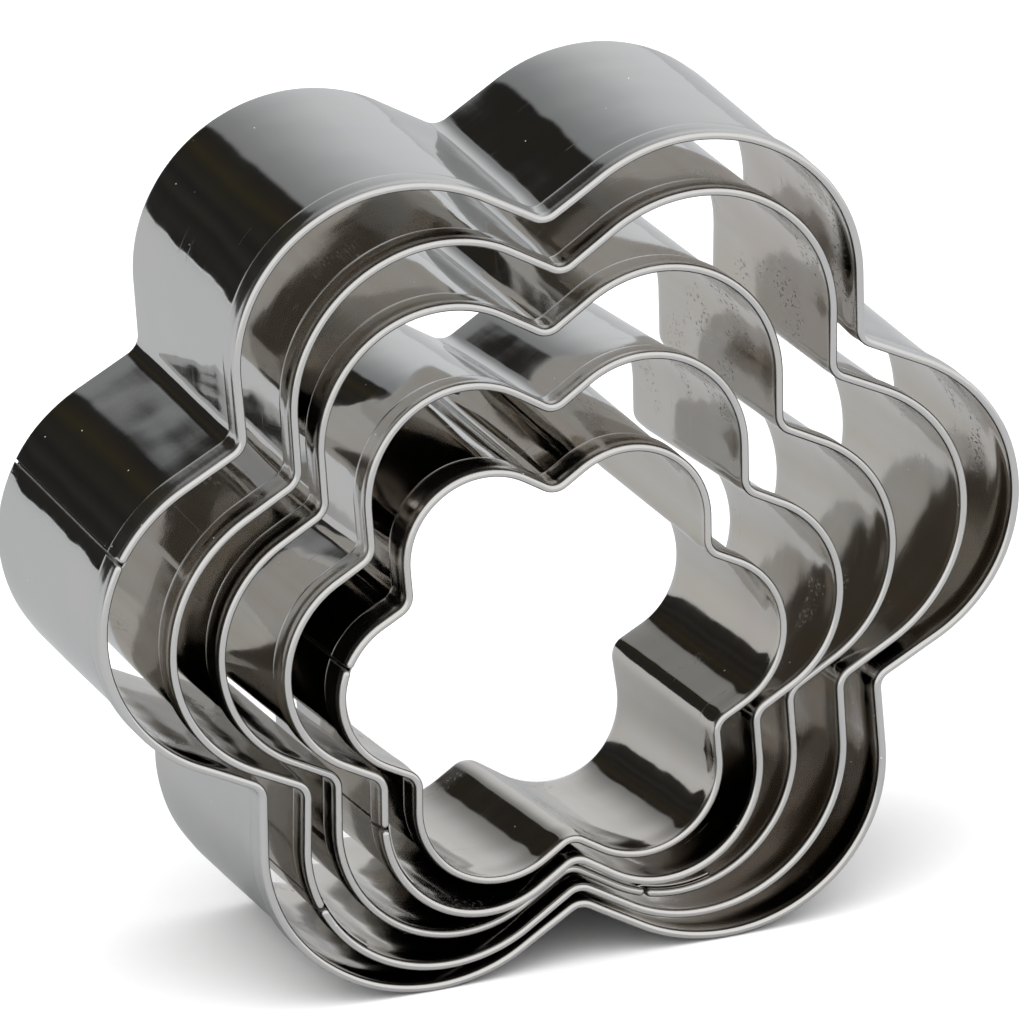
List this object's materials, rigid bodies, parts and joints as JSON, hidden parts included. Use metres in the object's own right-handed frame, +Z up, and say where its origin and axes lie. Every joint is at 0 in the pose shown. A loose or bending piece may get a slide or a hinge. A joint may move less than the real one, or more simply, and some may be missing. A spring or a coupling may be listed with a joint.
{
  "type": "cookie cutter set",
  "caption": "Nested set of polished steel flower cookie cutters, each a bent strip with a plain cutting edge, a rounded hem and a lapped seam, standing on edge.",
  "frame": {"origin": "bottom centre of the bounding box, on the surface that the two lower petals of the largest cutter stand on", "axes": "+Z up, +Y along the flowers' axis from the hems in front to the cutting edges behind, +X to the right seen from the front"},
  "size_m": [0.09, 0.031, 0.0824],
  "materials": {
    "steel": "mirror polished stainless sheet"
  },
  "bodies": {
    "cutter_largest": {"cutter_largest": "steel"},
    "cutter_large": {"cutter_large": "steel"},
    "cutter_middle": {"cutter_middle": "steel"},
    "cutter_small": {"cutter_small": "steel"},
    "cutter_smallest": {"cutter_smallest": "steel"}
  },
  "joints": [
    {"name": "cutter_large_slide", "type": "slide", "parent": "cutter_largest", "child": "cutter_large", "axis": [0, -1, 0], "range_m": [-0.035, 0.035]},
    {"name": "cutter_middle_slide", "type": "slide", "parent": "cutter_large", "child": "cutter_middle", "axis": [0, -1, 0], "range_m": [-0.035, 0.035]},
    {"name": "cutter_small_slide", "type": "slide", "parent": "cutter_middle", "child": "cutter_small", "axis": [0, -1, 0], "range_m": [-0.035, 0.035]},
    {"name": "cutter_smallest_slide", "type": "slide", "parent": "cutter_small", "child": "cutter_smallest", "axis": [0, -1, 0], "range_m": [-0.035, 0.035]}
  ]
}
